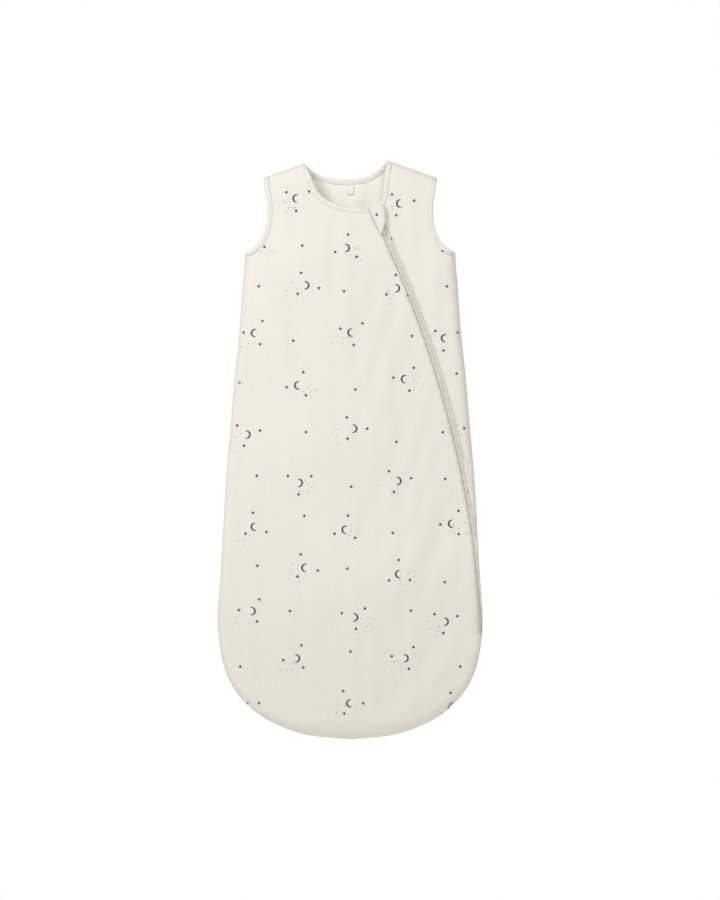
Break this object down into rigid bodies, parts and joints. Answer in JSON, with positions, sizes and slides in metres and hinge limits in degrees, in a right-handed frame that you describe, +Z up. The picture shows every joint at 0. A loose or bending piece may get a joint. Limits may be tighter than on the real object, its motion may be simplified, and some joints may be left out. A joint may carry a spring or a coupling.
{
  "type": "baby sleeping bag",
  "caption": "Sleeveless padded baby sleeping bag with bound neck and armholes, a curved front zip under a leaf-shaped guard, and a front corner that folds open.",
  "frame": {"origin": "lowest point of the foot seam on the centre line, in the plane of the side seams", "axes": "+Z up to the neck, front faces -Y, +X to the wearer's left"},
  "size_m": [0.3202, 0.0379, 0.6984],
  "materials": {
    "outer_jersey": "soft cotton jersey, cream with a small printed moon and star repeat",
    "lining_jersey": "plain cream cotton jersey",
    "wadding": "lofted polyester wadding",
    "binding_jersey": "self-fabric binding, topstitched",
    "zip_tape": "woven polyester tape, blush beige",
    "zip_coil": "nylon coil, blush beige",
    "zip_acetal": "moulded acetal, blush beige",
    "label_satin": "blank woven satin"
  },
  "bodies": {
    "shell": {"back_outer": "outer_jersey", "back_wadding": "wadding", "back_lining": "lining_jersey", "front_main_outer": "outer_jersey", "front_main_wadding": "wadding", "front_main_lining": "lining_jersey", "front_side_outer": "outer_jersey", "front_side_wadding": "wadding", "front_side_lining": "lining_jersey", "neck_binding": "binding_jersey", "armhole_binding_left": "binding_jersey", "armhole_binding_right": "binding_jersey", "zip_tape_main_foot": "zip_tape", "zip_tape_side": "zip_tape", "zip_coil_main_foot": "zip_coil", "zip_coil_side": "zip_coil", "zip_top_stop_side": "zip_acetal", "zip_bottom_stop": "zip_acetal", "inner_zip_placket": "lining_jersey", "size_label": "label_satin"},
    "front_flap": {"front_flap_outer": "outer_jersey", "front_flap_wadding": "wadding", "front_flap_lining": "lining_jersey", "flap_neck_binding": "binding_jersey", "zip_tape_main": "zip_tape", "zip_coil_main": "zip_coil", "zip_top_stop_main": "zip_acetal", "zip_guard_seam_strip": "lining_jersey"},
    "zip_guard": {"zip_guard_outer": "outer_jersey", "zip_guard_facing": "lining_jersey"},
    "slider": {"slider_body": "zip_acetal", "slider_bail": "zip_acetal"},
    "pull": {"pull_tab": "zip_acetal"}
  },
  "joints": [
    {"name": "front_fold", "type": "hinge", "parent": "shell", "child": "front_flap", "pos_m": [0.12413, -0.01273, 0.345], "axis": [0.45, 0.03, -0.8925], "range_deg": [0, 150]},
    {"name": "zip_run", "type": "hinge", "parent": "shell", "child": "slider", "pos_m": [-1.15583, -0.09606, 0.05396], "axis": [-0.0665, 0.9978, 0], "range_deg": [0, 15.6]},
    {"name": "guard_fold", "type": "hinge", "parent": "front_flap", "child": "zip_guard", "pos_m": [0.02157, -0.02332, 0.64183], "axis": [0.4329, 0.0289, -0.901], "range_deg": [0, 165]},
    {"name": "pull_tilt", "type": "hinge", "parent": "slider", "child": "pull", "pos_m": [0.03044, -0.01988, 0.63631], "axis": [-0.896, -0.0597, -0.4399], "range_deg": [0, 55]}
  ],
  "couplings": [
    {"joint": "zip_run", "follows": "front_fold", "ratio": 0.104},
    {"joint": "pull_tilt", "follows": "guard_fold", "ratio": 0.33333}
  ]
}
